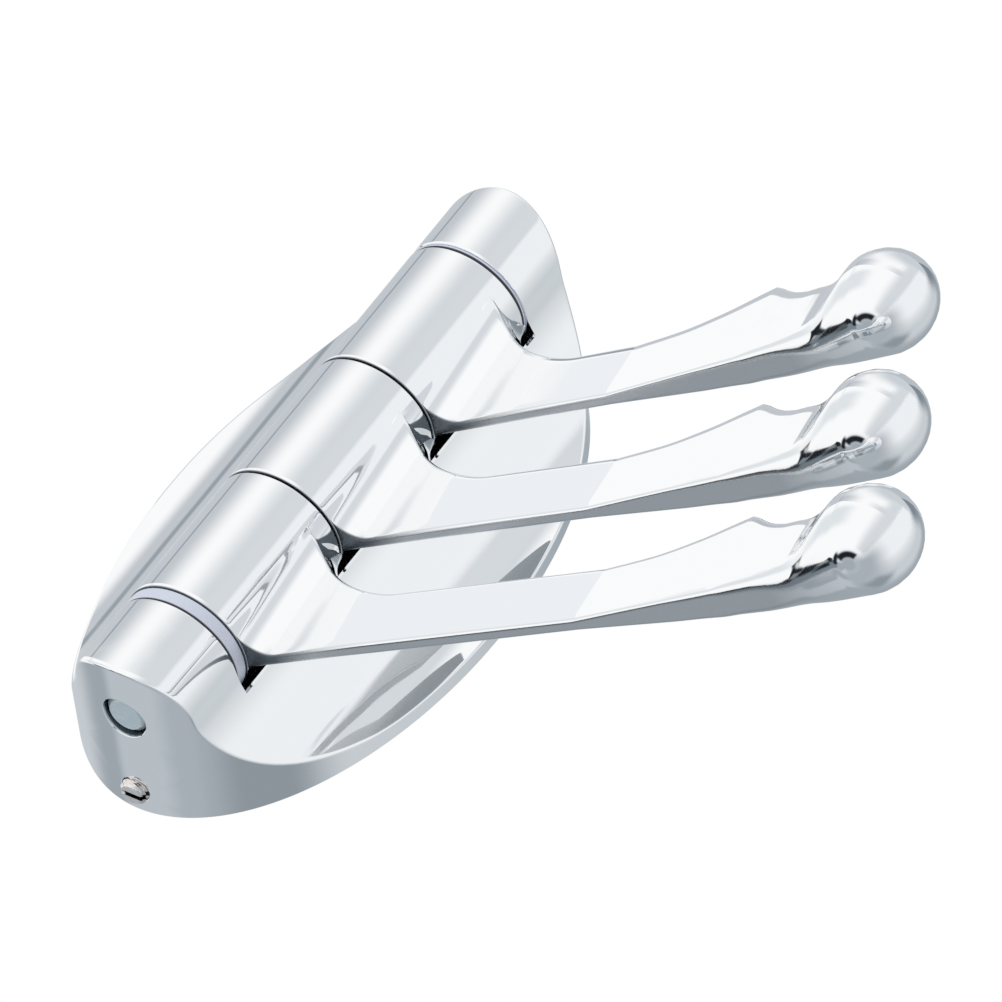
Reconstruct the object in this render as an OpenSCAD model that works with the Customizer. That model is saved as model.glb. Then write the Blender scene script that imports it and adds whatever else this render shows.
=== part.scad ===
/* [Base casting] */
// Height of the oval base on the wall
base_h = 96; // [90:1:110]
// Width of the oval base on the wall
base_w = 52.5; // [48:0.5:60]
// Thickness of the base at its thin edge
rim_t = 2.4; // [2:0.1:3.4]
// Radius of the barrel that holds the hinge pin
barrel_r = 9.2; // [8.4:0.1:9.6]
// Radius of the hollow flank between barrel and edge
flank_r = 26; // [22:1:40]
// Width left flat along the edge beyond the hollow flank
edge_flat = 3.3; // [2:0.1:5]
// Length of the solid barrel below the knuckles
foot_len = 13; // [11:0.5:16]
// Length of the solid barrel above the knuckles
head_len = 12; // [10:0.5:16]
// Gap between the knuckles and the trough behind them
trough_gap = 1; // [0.6:0.1:1.4]
// How far below the hinge axis the lips of the trough lie
lip_drop = 2.9; // [2.4:0.1:3.4]
// Thickness of the casting between the trough and the hollow back
floor_t = 2.3; // [1.6:0.1:4]

/* [Hollow back and wall bracket] */
// Depth of the hollow in the back of the base
hollow_d = 5; // [4.6:0.1:5.4]
// Height of the casting left above and below the hollow
end_wall = 9.5; // [8:0.5:12]
// Thickness of the bracket sheet
bracket_t = 1.5; // [1.2:0.1:1.8]
// Width of the bracket
bracket_w = 22; // [18:1:24]
// Room between the bracket and the sides of the hollow
side_room = 3.5; // [2:0.1:3.9]
// Room between the bracket and the ends of the hollow
end_room = 3; // [2.5:0.1:3.9]
// Distance between the two wall screw holes
screw_spacing = 40; // [30:1:46]
// Diameter of a wall screw hole
screw_hole_d = 4.5; // [3.5:0.1:5.5]
// Width of the tongue at the top and the lug at the bottom
tongue_w = 11; // [8:0.5:14]
// How far the tongue goes into its slot in the base
tongue_in = 3; // [2:0.5:3.5]
// Clearance of the tongue in its slot
tongue_gap = 0.2; // [0.15:0.05:0.4]
// Room between the bottom lug and the floor of the hollow
lug_gap = 0.5; // [0.3:0.1:1]

/* [Pin, washers and set screw] */
// Diameter of the hinge pin
pin_d = 6; // [5:0.5:7]
// Radial clearance of the knuckles on the pin
pin_gap = 0.05; // [0.03:0.01:0.1]
// Radial clearance of the pin in the base
pin_seat_gap = 0.02; // [0.01:0.01:0.05]
// Depth of the pin end below the foot of the base
pin_recess = 1.2; // [0.5:0.1:2]
// Solid metal over the blind top end of the pin
pin_cover = 4; // [3:0.5:6]
// Diameter of the hole mouth in the foot of the base
pin_mouth_d = 7; // [6.6:0.1:8]
// Depth of the hole mouth
pin_mouth_in = 3; // [2.5:0.5:5]
// Thickness of the thick nylon washer under the lowest knuckle
low_washer_t = 2.4; // [1.5:0.1:3]
// Thickness of the thin nylon washer over the top knuckle
top_washer_t = 0.8; // [0.6:0.1:1.5]
// How far the washers stay back from the barrel surface
washer_back = 0.15; // [0.1:0.05:0.5]
// Diameter of the hidden spacers between the knuckles
spacer_d = 12; // [10:0.5:14]
// Depth of the recess that holds a spacer
spacer_recess = 0.7; // [0.5:0.1:1]
// Axial play of each knuckle against its washers
axial_play = 0.05; // [0.03:0.01:0.1]
// Diameter of the set screw
set_d = 4; // [3:0.5:4]
// Pitch of the set screw thread
set_pitch = 0.7; // [0.5:0.1:0.8]
// Distance from the wall to the set screw
set_out = 3.6; // [3.3:0.1:3.8]
// How far the set screw stands out of the foot of the base
set_proud = 1; // [0.5:0.1:1.5]
// Width of the screwdriver slot in the set screw
set_slot_w = 0.8; // [0.6:0.1:1]
// Depth of the screwdriver slot
set_slot_d = 1; // [0.8:0.1:1.3]

/* [Arms] */
// Open seam between two knuckles
seam = 0.3; // [0.2:0.05:0.5]
// Distance from the pin to the ball of the lower arm, the longest
low_len = 120; // [112:0.5:140]
// Distance from the pin to the ball of the middle arm
mid_len = 105; // [98:0.5:111]
// Distance from the pin to the ball of the upper arm, the shortest
top_len = 91.7; // [86:0.1:97]
// Angle of the lower arm from the wall, in front to the right
low_angle = 32.8; // [28:0.1:90]
// Angle of the middle arm
mid_angle = 33.2; // [28:0.1:90]
// Angle of the upper arm
top_angle = 34.7; // [28:0.1:90]
// Thickness of the blade near the knuckle
blade_t = 2; // [1.6:0.1:2.8]
// Height of the blade in its slim part
blade_h = 9.3; // [7.5:0.1:10.4]
// Offset of the slim blade behind the hinge axis
blade_back = 4.9; // [4:0.1:5.4]
// Height of the ball at the end
ball_h = 14.6; // [13:0.1:16]
// Thickness of the ball
ball_t = 13.2; // [12:0.1:14.6]
// Length of the ball from its thickest place to its tip
ball_nose = 7; // [6:0.1:8]
// Offset of the ball behind the hinge axis
ball_back = 3; // [1.5:0.1:4]
// Height of the lowest point of the ball above the bottom edge
ball_lift = 1; // [0.3:0.1:2]
// Height of the pointed peak before the hanger seat
peak_h = 13.5; // [12.6:0.1:14.5]
// Height of the blade at the hanger seat
seat_h = 10.6; // [10:0.1:11.4]
// Distance from the ball back to the hanger seat
seat_back = 14.5; // [14:0.5:16]
// Distance from the seat back to the peak
peak_back = 8.5; // [7:0.5:9.5]
// Distance from the ball back to the crease where the blade starts to thicken
crease_back = 49; // [40:1:52]
// Where the sweep from the knuckle ends in the slim blade
sweep_end = 31; // [24:1:34]
// Radius of the fillet from knuckle to blade, in front
root_fillet = 4.5; // [3.5:0.5:5.5]
// Radius of the fillet from knuckle to blade, behind
back_fillet = 2; // [1.5:0.5:2.5]
// Radius of the blade edges
edge_r = 0.5; // [0.3:0.1:0.7]

/* [Hidden] */

// How far cutters run past the faces that they cut
past = 1;
// Smoothness of round shapes
round_fn = 96;

// Corners of the oval outline, close enough to read as a smooth curve
oval_sides = 120;

// Stack out from the wall: hollow, floor, running gap of the trough, and the barrel
axis_out = hollow_d + floor_t + trough_gap + barrel_r;

// Hollow flank: an arc from the side of the barrel to the flat edge
flank_over = 0.1;
flank_x0 = barrel_r;
flank_d0 = axis_out + flank_over;
flank_x1 = base_w / 2 - edge_flat;
flank_d1 = rim_t;
flank_dx = flank_x1 - flank_x0;
flank_dd = flank_d0 - flank_d1;
flank_chord = norm([flank_dx, flank_dd]);
flank_off = sqrt(pow(flank_r, 2) - pow(flank_chord / 2, 2));
flank_cx = (flank_x0 + flank_x1) / 2 + flank_off * flank_dd / flank_chord;
flank_cd = (flank_d0 + flank_d1) / 2 + flank_off * flank_dx / flank_chord;

// Stack on the pin, from the bottom of the pocket up. The three knuckles share its length.
pocket_bottom = -base_h / 2 + foot_len;
pocket_top = base_h / 2 - head_len;
knuckle_len = (pocket_top - pocket_bottom - low_washer_t - top_washer_t - 2 * seam) / 3;
low_arm_z = pocket_bottom + low_washer_t;
mid_arm_z = low_arm_z + knuckle_len + seam;
top_arm_z = mid_arm_z + knuckle_len + seam;
trough_r = barrel_r + trough_gap;
lip_out = axis_out - lip_drop;
lip_step = 0.2;
lip_x = trough_r + lip_step;

// Pin, with room over its blind end, and the play of a spacer in its recess
pin_r = pin_d / 2;
pin_foot_z = -base_h / 2 + pin_recess;
pin_top_z = base_h / 2 - pin_cover;
pin_end_gap = 0.3;
pin_chamfer = 0.6;
spacer_gap = 0.3;

// Hollow back and the bracket in it
hollow_w = bracket_w + 2 * side_room;
hollow_h = base_h - 2 * end_wall;
bracket_h = hollow_h - 2 * end_room;
lug_out = hollow_d - lug_gap;

// Set screw, from just below the lug of the bracket down and out of the foot of the base
lug_z = -bracket_h / 2 - bracket_t;
set_foot_z = -base_h / 2 - set_proud;
set_end_gap = 0.1;
set_top_z = lug_z - set_end_gap;
set_r = set_d / 2;
set_bore_gap = 0.05;
thread_share = 0.45;
thread_depth = thread_share * set_pitch;
thread_count = floor((set_top_z - set_foot_z) / set_pitch);

// Tongue at the top of the bracket: it lies just in front of the plate. It and the lug at the
// bottom overlap the plate's round end.
tongue_front = 2 * bracket_t;
tongue_lap = 4;
tongue_top_z = hollow_h / 2 + tongue_in;

// Blade of an arm. The knuckle ends stay proud of the blade by this much.
blade_low = 0.15;
sweep_inset = 1.2;
sweep_start = barrel_r - sweep_inset;
sweep_power = 1.6;
root_wall = 2;
blade_root = pin_r + root_wall;
ball_mid_h = ball_lift + ball_h / 2;

// Fillet centres in the plan of the arm, x along the arm and y to the back
blade_front = blade_back - blade_t / 2;
blade_rear = blade_back + blade_t / 2;
front_cy = blade_front - root_fillet;
front_cx = sqrt(pow(barrel_r + root_fillet, 2) - pow(front_cy, 2));
front_tx = front_cx * barrel_r / (barrel_r + root_fillet);
rear_cy = blade_rear + back_fillet;
rear_cx = sqrt(pow(barrel_r + back_fillet, 2) - pow(rear_cy, 2));
rear_tx = rear_cx * barrel_r / (barrel_r + back_fillet);

// Height of the sweep: a hollow quarter curve from the top of the knuckle down to the slim blade
function sweep_left(x) = min(1, (sweep_end - x) / (sweep_end - sweep_start));
function sweep_top(x) = x >= sweep_end ? blade_h
    : blade_h + (knuckle_len - 2 * blade_low - blade_h)
        * (1 - pow(1 - pow(sweep_left(x), sweep_power), 1 / sweep_power));

// Front and rear faces of the blade near the knuckle, following the fillets
function front_y(x) = x >= front_cx ? blade_front
    : front_cy + sqrt(pow(root_fillet, 2) - pow(front_cx - max(x, front_tx), 2));
function rear_y(x) = x >= rear_cx ? blade_rear
    : rear_cy - sqrt(pow(back_fillet, 2) - pow(rear_cx - max(x, rear_tx), 2));

// A station of the blade: [x, bottom, top, front, rear, edge radius]. The stations of the sweep
// stand closest together at its steep start.
root_steps = 11;
root_x = [
    blade_root,
    for (i = [0:root_steps])
        sweep_start + (sweep_end - sweep_start) * pow(i / root_steps, sweep_power)
];
function root_stations() = [
    for (x = root_x) [x, blade_low, sweep_top(x), front_y(x), rear_y(x), edge_r]
];

// From the crease on, the blade thickens evenly: by this much for each mm, in front and behind
taper_front = 0.0765;
taper_rear = 0.0265;
function taper_station(len, back, top, radius) =
    let (along = crease_back - back)
    [
        len - back, blade_low, top,
        blade_front - taper_front * along, blade_rear + taper_rear * along, radius
    ];

// Top edge from the crease up to the peak, then down to the hanger seat. Each step: share of the
// way, share of the height and growth of the edge radius.
rise_steps = [[0, 0, 0], [0.35, 0.1, 0], [0.67, 0.43, 0.1], [0.9, 0.83, 0.2], [1, 1, 0.2]];
fall_steps = [[0.18, 0.2, 0.3], [0.41, 0.52, 0.4], [0.7, 0.83, 0.6], [1, 1, 0.9]];
function mix(a, b, share) = a + share * (b - a);
function edge_station(len, from_back, to_back, from_h, to_h, step) =
    taper_station(
        len, mix(from_back, to_back, step[0]), mix(from_h, to_h, step[1]), edge_r + step[2]
    );

// The neck swells into the ball. Each step: distance behind the ball, then how much of the
// swelling is done in thickness, in height above the seat, below and in the edge radius.
neck_back = 12;
neck_steps = [
    [12, 0, 0.02, 0, 0], [10, 0.05, 0.1, 0, 0.12], [8, 0.18, 0.32, 0, 0.29],
    [6, 0.4, 0.6, 0.06, 0.46], [4, 0.68, 0.86, 0.3, 0.67], [2, 0.9, 0.98, 0.65, 0.87]
];
neck_edge_r = edge_r + 1.3;
function neck_station(len, step) =
    let (from = taper_station(len, neck_back, seat_h, neck_edge_r))
    [
        len - step[0],
        mix(from[1], ball_lift, step[3]),
        mix(from[2], ball_lift + ball_h, step[2]),
        mix(from[3], ball_back - ball_t / 2, step[1]),
        mix(from[4], ball_back + ball_t / 2, step[1]),
        mix(from[5], ball_t / 2, step[4])
    ];

function end_stations(len) = [
    for (step = rise_steps)
        edge_station(len, crease_back, seat_back + peak_back, blade_h, peak_h, step),
    for (step = fall_steps)
        edge_station(len, seat_back + peak_back, seat_back, peak_h, seat_h, step),
    for (step = neck_steps) neck_station(len, step)
];

// The ball: sections that shrink towards its tip
ball_steps = [0, 15, 30, 45, 60, 75];
function ball_stations(len) = [
    for (a = ball_steps) [
        len + ball_nose * sin(a),
        ball_mid_h - ball_h / 2 * cos(a), ball_mid_h + ball_h / 2 * cos(a),
        ball_back - ball_t / 2 * cos(a), ball_back + ball_t / 2 * cos(a),
        ball_t / 2 * cos(a)
    ]
];

// One cross-section as 16 points: four rounded corners of four points each
function corner_points(cy, cz, r, turn) = [
    for (i = [0:3]) let (a = turn + (i + 0.5) * 22.5) [cy + r * cos(a), cz + r * sin(a)]
];
function section_points(s) =
    let (r = min(s[5], (s[4] - s[3]) / 2, (s[2] - s[1]) / 2))
    concat(
        corner_points(s[4] - r, s[2] - r, r, 0),
        corner_points(s[3] + r, s[2] - r, r, 90),
        corner_points(s[3] + r, s[1] + r, r, 180),
        corner_points(s[4] - r, s[1] + r, r, 270)
    );

module blade(len) {
    stations = concat(root_stations(), end_stations(len), ball_stations(len));
    n = len(stations);
    rings = [for (s = stations) for (p = section_points(s)) [s[0], p[0], p[1]]];
    tip = [len + ball_nose, ball_back, ball_mid_h];
    sides = [
        for (k = [0:n - 2]) for (i = [0:15])
            let (a = 16 * k + i, b = 16 * k + (i + 1) % 16)
            each [[a, a + 16, b], [b, a + 16, b + 16]]
    ];
    root_cap = [for (i = [1:14]) [0, i, i + 1]];
    tip_cap = [for (i = [0:15]) [16 * n, 16 * (n - 1) + (i + 1) % 16, 16 * (n - 1) + i]];
    polyhedron(points = concat(rings, [tip]), faces = concat(sides, root_cap, tip_cap));
}

// One arm: knuckle and blade in one casting, with the bore and a recess for the spacer
module arm(len, angle, z, recessed) {
    translate([0, -axis_out, z]) rotate([0, 0, -angle]) difference() {
        union() {
            cylinder(h = knuckle_len, r = barrel_r, $fn = round_fn);
            blade(len);
        }
        translate([0, 0, -past])
            cylinder(h = knuckle_len + 2 * past, r = pin_r + pin_gap, $fn = round_fn);
        if (recessed) translate([0, 0, knuckle_len - spacer_recess])
            cylinder(h = spacer_recess + past, r = spacer_d / 2 + spacer_gap, $fn = round_fn);
    }
}

// Outline of the base on the wall, with x across and y up
module oval_outline() {
    polygon([
        for (i = [0:oval_sides - 1]) let (a = 360 * i / oval_sides)
            [base_w / 2 * cos(a), base_h / 2 * sin(a)]
    ]);
}

// Section of the base across the hinge axis, with x across and y out from the wall
module base_section() {
    translate([0, axis_out]) circle(r = barrel_r, $fn = round_fn);
    difference() {
        polygon([
            [-base_w / 2, 0], [base_w / 2, 0], [base_w / 2, rim_t], [flank_x1, flank_d1],
            [flank_x0, flank_d0], [-flank_x0, flank_d0], [-flank_x1, flank_d1], [-base_w / 2, rim_t]
        ]);
        for (side = [-1, 1]) intersection() {
            translate([side * flank_cx, flank_cd]) circle(r = flank_r, $fn = round_fn);
            translate([side * (flank_x0 + flank_x1) / 2, (flank_d0 + flank_d1) / 2])
                square([flank_dx, flank_dd], center = true);
        }
    }
}

// Section of the pocket that takes the knuckles
module pocket_section() {
    translate([0, axis_out]) circle(r = trough_r, $fn = round_fn);
    translate([-lip_x, lip_out]) square([2 * lip_x, barrel_r + lip_drop + past]);
}

// Extrudes a section that has x across and y out from the wall, from z0 up to z1
module along_axis(z0, z1) {
    translate([0, 0, z0]) linear_extrude(height = z1 - z0) mirror([0, 1]) children();
}

// Extrudes an outline on the wall out from depth d0 to depth d1
module out_from_wall(d0, d1) {
    translate([0, -d0, 0]) rotate([90, 0, 0]) linear_extrude(height = d1 - d0) children();
}

// Upright slot with round ends
module round_ended(w, h) {
    for (end = [-1, 1]) translate([0, end * (h - w) / 2]) circle(d = w, $fn = round_fn);
    square([w, h - w], center = true);
}

module base_casting() {
    color("silver") difference() {
        intersection() {
            along_axis(-base_h / 2 - past, base_h / 2 + past) base_section();
            out_from_wall(-past, axis_out + barrel_r + past) oval_outline();
        }
        along_axis(pocket_bottom, pocket_top) pocket_section();
        out_from_wall(-past, hollow_d) round_ended(hollow_w, hollow_h);
        // Slot for the tongue of the bracket
        translate([
            -tongue_w / 2 - tongue_gap, -tongue_front - tongue_gap, hollow_h / 2 - hollow_w / 2
        ]) cube([
            tongue_w + 2 * tongue_gap, bracket_t + 2 * tongue_gap,
            hollow_w / 2 + tongue_in + tongue_gap
        ]);
        // Seat of the pin, open at the foot and blind at the top
        translate([0, -axis_out, -base_h / 2 - past])
            cylinder(
                h = pin_top_z + pin_end_gap + base_h / 2 + past,
                r = pin_r + pin_seat_gap, $fn = round_fn
            );
        translate([0, -axis_out, -base_h / 2 - past])
            cylinder(h = pin_mouth_in + past, d = pin_mouth_d, $fn = round_fn);
        // Tapped hole of the set screw
        translate([0, -set_out, -base_h / 2 - past])
            cylinder(
                h = set_top_z + set_end_gap + base_h / 2 + past,
                r = set_r + set_bore_gap, $fn = round_fn
            );
    }
}

module wall_bracket() {
    color("gainsboro") difference() {
        union() {
            out_from_wall(0, bracket_t) round_ended(bracket_w, bracket_h);
            translate([-tongue_w / 2, -lug_out, lug_z])
                cube([tongue_w, lug_out, bracket_t]);
            translate([-tongue_w / 2, -bracket_t, lug_z])
                cube([tongue_w, bracket_t, bracket_t + tongue_lap]);
            translate([-tongue_w / 2, -tongue_front, bracket_h / 2 - tongue_lap])
                cube([tongue_w, tongue_front, tongue_lap]);
            translate([-tongue_w / 2, -tongue_front, bracket_h / 2 - tongue_lap])
                cube([tongue_w, bracket_t, tongue_top_z - bracket_h / 2 + tongue_lap]);
        }
        for (end = [-1, 1]) translate([0, past, end * screw_spacing / 2]) rotate([90, 0, 0])
            cylinder(h = bracket_t + 2 * past, d = screw_hole_d, $fn = round_fn);
    }
}

module set_screw() {
    color("gray") translate([0, -set_out, set_foot_z]) difference() {
        rotate_extrude($fn = round_fn) polygon(concat(
            [[0, 0], [set_r - thread_depth, 0]],
            [for (i = [0:thread_count - 1]) each [
                [set_r, (i + 0.5) * set_pitch],
                [set_r - thread_depth, (i + 1) * set_pitch]
            ]],
            [[set_r - thread_depth, set_top_z - set_foot_z], [0, set_top_z - set_foot_z]]
        ));
        translate([-set_r - past, -set_slot_w / 2, -past])
            cube([2 * (set_r + past), set_slot_w, set_slot_d + past]);
    }
}

module hinge_pin() {
    color("lightgray") translate([0, -axis_out, pin_foot_z]) rotate_extrude($fn = round_fn)
        polygon([
            [0, 0], [pin_r - pin_chamfer, 0], [pin_r, pin_chamfer],
            [pin_r, pin_top_z - pin_foot_z - pin_chamfer],
            [pin_r - pin_chamfer, pin_top_z - pin_foot_z], [0, pin_top_z - pin_foot_z]
        ]);
}

// A flat ring on the pin between heights z0 and z1
module ring_on_pin(z0, z1, r) {
    translate([0, -axis_out, z0]) difference() {
        cylinder(h = z1 - z0, r = r, $fn = round_fn);
        translate([0, 0, -past])
            cylinder(h = z1 - z0 + 2 * past, r = pin_r + pin_gap, $fn = round_fn);
    }
}

module lower_nylon_washer() {
    color("lavender")
        ring_on_pin(pocket_bottom, low_arm_z - axial_play, barrel_r - washer_back);
}

module upper_nylon_washer() {
    color("lavender")
        ring_on_pin(pocket_top - top_washer_t + axial_play, pocket_top, barrel_r - washer_back);
}

// Hidden spacer that lies in the recess of one knuckle and carries the next
module spacer(arm_z) {
    color("lavender") ring_on_pin(
        arm_z + knuckle_len - spacer_recess + axial_play,
        arm_z + knuckle_len + seam - axial_play,
        spacer_d / 2
    );
}

module lower_spacer() { spacer(low_arm_z); }
module upper_spacer() { spacer(mid_arm_z); }
module lower_arm() { color("silver") arm(low_len, low_angle, low_arm_z, true); }
module middle_arm() { color("silver") arm(mid_len, mid_angle, mid_arm_z, true); }
module upper_arm() { color("silver") arm(top_len, top_angle, top_arm_z, false); }

base_casting();
wall_bracket();
set_screw();
hinge_pin();
lower_nylon_washer();
upper_nylon_washer();
lower_spacer();
upper_spacer();
lower_arm();
middle_arm();
upper_arm();
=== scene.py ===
"""A chromed wall hook with three swivel arms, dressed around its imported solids.

The frame: x runs to the right, y back into the wall, z up, with the middle of the oval base on
the wall at the origin. The hinge axis stands upright in front of the wall.
"""
import math

import bmesh
import bpy
import numpy as np
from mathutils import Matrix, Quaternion, Vector


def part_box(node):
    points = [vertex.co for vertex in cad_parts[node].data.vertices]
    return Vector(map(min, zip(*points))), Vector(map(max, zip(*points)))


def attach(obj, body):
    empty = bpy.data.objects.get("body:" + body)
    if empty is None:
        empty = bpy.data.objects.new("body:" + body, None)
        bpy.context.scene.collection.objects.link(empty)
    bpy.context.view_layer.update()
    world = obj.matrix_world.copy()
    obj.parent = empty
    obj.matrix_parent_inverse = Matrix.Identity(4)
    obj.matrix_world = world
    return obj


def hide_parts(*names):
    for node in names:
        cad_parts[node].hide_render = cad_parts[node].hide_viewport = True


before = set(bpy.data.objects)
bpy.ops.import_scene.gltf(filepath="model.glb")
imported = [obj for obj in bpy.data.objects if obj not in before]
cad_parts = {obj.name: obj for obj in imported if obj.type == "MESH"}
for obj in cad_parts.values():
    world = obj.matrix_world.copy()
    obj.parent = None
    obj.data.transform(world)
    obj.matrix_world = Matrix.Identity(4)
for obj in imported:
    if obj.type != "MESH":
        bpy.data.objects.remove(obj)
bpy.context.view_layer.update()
scene = bpy.context.scene


# Camera
# A long lens low on the right in front of the wall, turned about its own axis.
camera_aim = Vector((0.0156, -0.0036, 0.0169))
camera_distance = 1.5128
camera_azimuth = math.radians(29.6)
camera_elevation = math.radians(-32.69)
camera_roll = math.radians(38.7)
sensor_width = 36
camera_lens = 412.1

camera_back = Vector((
    math.sin(camera_azimuth) * math.cos(camera_elevation),
    -math.cos(camera_azimuth) * math.cos(camera_elevation),
    math.sin(camera_elevation),
))
camera = bpy.data.objects.new("camera", bpy.data.cameras.new("camera"))
scene.collection.objects.link(camera)
camera.data.sensor_width = sensor_width
camera.data.lens = camera_lens
camera.data.clip_start = 0.05
camera.data.clip_end = 50
camera.location = camera_aim + camera_back * camera_distance
camera.rotation_mode = "QUATERNION"
camera.rotation_quaternion = (
    (-camera_back).to_track_quat("-Z", "Y") @ Quaternion((0, 0, 1), camera_roll)
)
scene.camera = camera
scene.view_settings.view_transform = "Standard"


# Studio
# White surroundings show behind the object and in its polish, and light it softly. A pale floor
# lies far below, a soft lamp hangs on the left in front, and paper screens shade the reflections.
room_light = 0.8
floor_z = -2.4
floor_half = 6
lamp_size = 0.6
lamp_power = 5
lamp_place = Vector((-0.5, -1, 0.7))


def linear(colour):
    """Linear RGBA from an sRGB hex string such as 'C8CDE6'."""
    parts = [int(colour[i:i + 2], 16) / 255 for i in (0, 2, 4)]
    return [((p + 0.055) / 1.055) ** 2.4 if p > 0.04045 else p / 12.92 for p in parts] + [1]


def add(tree, kind, settings=(), **links):
    """Adds a node: settings are (attribute, value) pairs, and links are values or outputs for its
    sockets, by name with _ for a space or by number after an _."""
    node = tree.nodes.new(kind)
    for attribute, value in settings:
        setattr(node, attribute, value)
    for name, value in links.items():
        socket = node.inputs[int(name[1:]) if name[0] == "_" else name.replace("_", " ")]
        if isinstance(value, bpy.types.NodeSocket):
            tree.links.new(value, socket)
        else:
            socket.default_value = value
    return node


def surface_material(name):
    """An empty material and its node tree."""
    material = bpy.data.materials.new(name)
    material.use_nodes = True
    material.node_tree.nodes.clear()
    return material, material.node_tree


def shown(tree):
    """Output that is 1 for rays that show things, straight or mirrored, and 0 for rays that only
    light them."""
    ray = add(tree, "ShaderNodeLightPath")
    seen = add(tree, "ShaderNodeMath", [("operation", "MAXIMUM")],
               _0=ray.outputs["Is Camera Ray"], _1=ray.outputs["Is Glossy Ray"])
    seen = add(tree, "ShaderNodeMath", [("operation", "MAXIMUM")],
               _0=seen.outputs[0], _1=ray.outputs["Is Transmission Ray"])
    return seen.outputs[0]


def ramp(values, start, span):
    """0 up to the start, then a straight rise to 1 over the span."""
    return np.clip((values - start) / span, 0, 1)


world = bpy.data.worlds.new("studio")
scene.world = world
world.use_nodes = True
tree = world.node_tree
tree.nodes.clear()
soft = add(tree, "ShaderNodeBackground", Color=linear("E6E9EC"), Strength=room_light)
white = add(tree, "ShaderNodeBackground", Color=(1, 1, 1, 1), Strength=1)
both = add(tree, "ShaderNodeMixShader", _0=shown(tree), _1=soft.outputs[0], _2=white.outputs[0])
add(tree, "ShaderNodeOutputWorld", Surface=both.outputs[0])


# Paper screens stand round the object and show only in its polish. Each one: the directions that
# it covers as azimuths from the front towards +x and as elevations, in degrees, its grey, how far
# its first and last upright edge and its lower and upper edge fade, in degrees, and its distance
# in m.
screens = {
    "seam_left": ((-99.5, -91.5), (30.3, 38), "9AA2A9", (3, 3), (0.3, 4), 11.9),
    "band_left": ((-142, -34), (30.3, 52), "C4C9CE", (6, 52), (0.3, 16), 12.0),
    "band_middle": ((-34, 42), (30.3, 52), "D4D9DD", (48, 4), (0.3, 16), 12.1),
    "slim_blades": ((-95, -82), (20, 30), "F1F3F6", (2, 3), (1, 1), 12.2),
    "ridge_high": ((-105, -98), (-40, -4), "1E242A", (3, 2), (6, 5), 1.80),
    "ridge_middle": ((-112, -96), (-57, -34), "1E242A", (5, 3), (7, 5), 1.81),
    "ridge_low": ((-118, -58), (-67, -52), "1E242A", (7, 18), (6, 5), 1.82),
    "ridge_right": ((-92, 34), (-77, -58), "1E242A", (18, 14), (6, 6), 1.83),
    "low_left": ((-152, -96), (-90, -60), "A4ACB3", (10, 10), (0, 5), 1.84),
    "nadir": ((-180, 180), (-90, -74), "A4ACB3", (0, 0), (0, 6), 1.85),
    "under_left": ((-136, -98), (-80, -20), "7A848C", (12, 8), (9, 9), 1.90),
    "under_arms": ((-192, -132), (-52, -20), "BAC1C7", (18, 10), (9, 9), 1.91),
    "foot_right": ((116, 172), (-42, 4), "8F979E", (22, 18), (18, 16), 1.94),
    "low_right": ((22, 204), (-84, -4), "ABB2B9", (46, 30), (20, 46), 1.95),
    "column": ((-2, 50), (-60, 75), "D8DCE0", (28, 14), (12, 10), 2.00),
    "light_right": ((42, 96), (-50, 75), "F2F4F6", (8, 20), (12, 12), 2.02),
    "high_left": ((-180, -80), (38, 90), "BAC1C7", (0, 34), (16, 0), 2.04),
    "left_back": ((-168, -112), (-12, 66), "C6CCD1", (24, 20), (24, 24), 2.05),
    "high_back": ((84, 226), (52, 90), "818A92", (34, 34), (20, 0), 2.06),
    "right": ((60, 178), (-75, 80), "C8CED2", (66, 62), (20, 20), 2.10),
    "back": ((108, 238), (-75, 80), "9FA7AE", (52, 14), (20, 20), 2.12),
    "high": ((-180, 180), (46, 90), "CDD3D8", (0, 0), (26, 0), 2.20),
    "low": ((-180, 180), (-90, -52), "B6BDC3", (0, 0), (0, 24), 2.25),
    "front_left": ((-116, -24), (-18, 24), "E3E7EA", (30, 34), (16, 9), 2.30),
}
screen_steps = 91


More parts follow.
